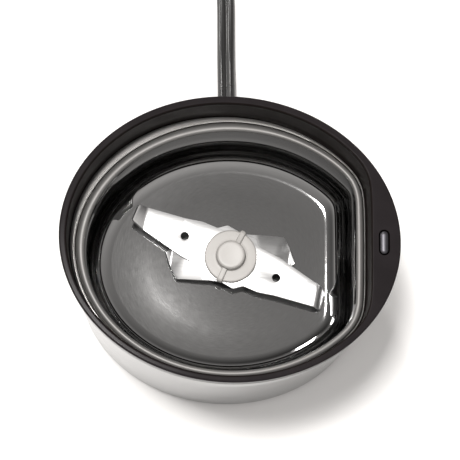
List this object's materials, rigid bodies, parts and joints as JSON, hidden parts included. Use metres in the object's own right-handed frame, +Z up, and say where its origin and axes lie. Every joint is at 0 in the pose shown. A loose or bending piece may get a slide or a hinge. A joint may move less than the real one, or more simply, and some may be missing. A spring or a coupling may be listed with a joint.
{
  "type": "electric spice grinder",
  "caption": "Oval electric blade grinder for spices, lid off: brushed steel body, charcoal collar, sunk steel bowl with a spinning cutting blade, lid-pushed switch pin and flat cord.",
  "frame": {"origin": "on the floor, under the middle of the oval body", "axes": "+Z up; X along the oval's long axis, +X towards the switch pin; +Y towards the cord"},
  "size_m": [0.1056, 0.3168, 0.1103],
  "materials": {
    "collar_plastic": "fine matte top, glossy inside wall",
    "brushed_steel": "brushed",
    "bowl_steel": "polished",
    "blade_steel": "brushed",
    "hub_plastic": "satin",
    "shaft_steel": "ground",
    "core_steel": "laminated",
    "copper": "enamelled wire",
    "bronze": "sintered",
    "bracket_metal": "cast",
    "holder_plastic": "moulded",
    "carbon": "matte",
    "spring_steel": "bright",
    "screw_steel": "zinc plated",
    "pin_metal": "polished",
    "inner_plastic": "moulded",
    "base_plastic": "fine texture",
    "switch_plastic": "moulded",
    "button_plastic": "moulded",
    "terminal_brass": "bright",
    "lead_black": "satin",
    "lead_white": "satin",
    "cord_black": "satin",
    "plug_metal": "nickel plated",
    "rubber": "matte"
  },
  "bodies": {
    "body": {"collar": "collar_plastic", "housing_shell": "brushed_steel", "chassis": "inner_plastic", "bowl": "bowl_steel", "bowl_seal": "rubber", "stator_core": "core_steel", "field_coil_left": "copper", "field_coil_right": "copper", "upper_bearing": "bronze", "lower_bearing": "bronze", "motor_bracket": "bracket_metal", "brush_holder_front": "holder_plastic", "brush_holder_back": "holder_plastic", "brush_front": "carbon", "brush_back": "carbon", "brush_springs": "spring_steel", "motor_screws": "screw_steel", "rubber_dampers": "rubber", "collar_screws": "screw_steel", "return_spring": "spring_steel", "switch_body": "switch_plastic", "switch_terminals": "terminal_brass", "switch_screws": "screw_steel", "lead_live": "lead_black", "lead_neutral": "lead_white", "lead_switched": "lead_black", "base_plate": "base_plastic", "base_screws": "screw_steel", "rubber_feet": "rubber", "cord_clamp": "inner_plastic", "clamp_screws": "screw_steel", "inner_cord": "cord_black", "strain_relief": "cord_black", "power_cord": "cord_black", "cord_coil": "cord_black", "cord_tail": "cord_black", "cord_tie": "rubber", "plug_body": "cord_black", "plug_blades": "plug_metal"},
    "rotor": {"motor_shaft": "shaft_steel", "rotor_core": "core_steel", "rotor_winding": "copper", "commutator": "copper", "blade_bush": "hub_plastic", "blade": "blade_steel", "lower_blade": "blade_steel", "blade_hub": "hub_plastic"},
    "pin": {"switch_pin": "pin_metal", "push_rod": "inner_plastic"},
    "lever": {"switch_lever": "spring_steel"},
    "button": {"switch_button": "button_plastic"}
  },
  "joints": [
    {"name": "rotor_spin", "type": "hinge", "parent": "body", "child": "rotor", "pos_m": [0.0012, 0.0003, 0.045], "axis": [0, 0, 1], "continuous": true},
    {"name": "pin_press", "type": "slide", "parent": "body", "child": "pin", "axis": [0, 0, -1], "range_m": [0, 0.003], "stiffness_N_per_m": 350, "springref_m": -0.004, "deforming": ["return_spring"]},
    {"name": "lever_swing", "type": "hinge", "parent": "body", "child": "lever", "pos_m": [0.046, -0.00747, 0.0374], "axis": [0.9978, 0.0663, 0], "range_deg": [-15, 0]},
    {"name": "button_press", "type": "slide", "parent": "body", "child": "button", "axis": [0, 0, -1], "range_m": [0, 0.00085]}
  ],
  "couplings": [
    {"joint": "lever_swing", "follows": "pin_press", "rad_per_m": -85.521},
    {"joint": "button_press", "follows": "pin_press", "ratio": 0.2666}
  ]
}
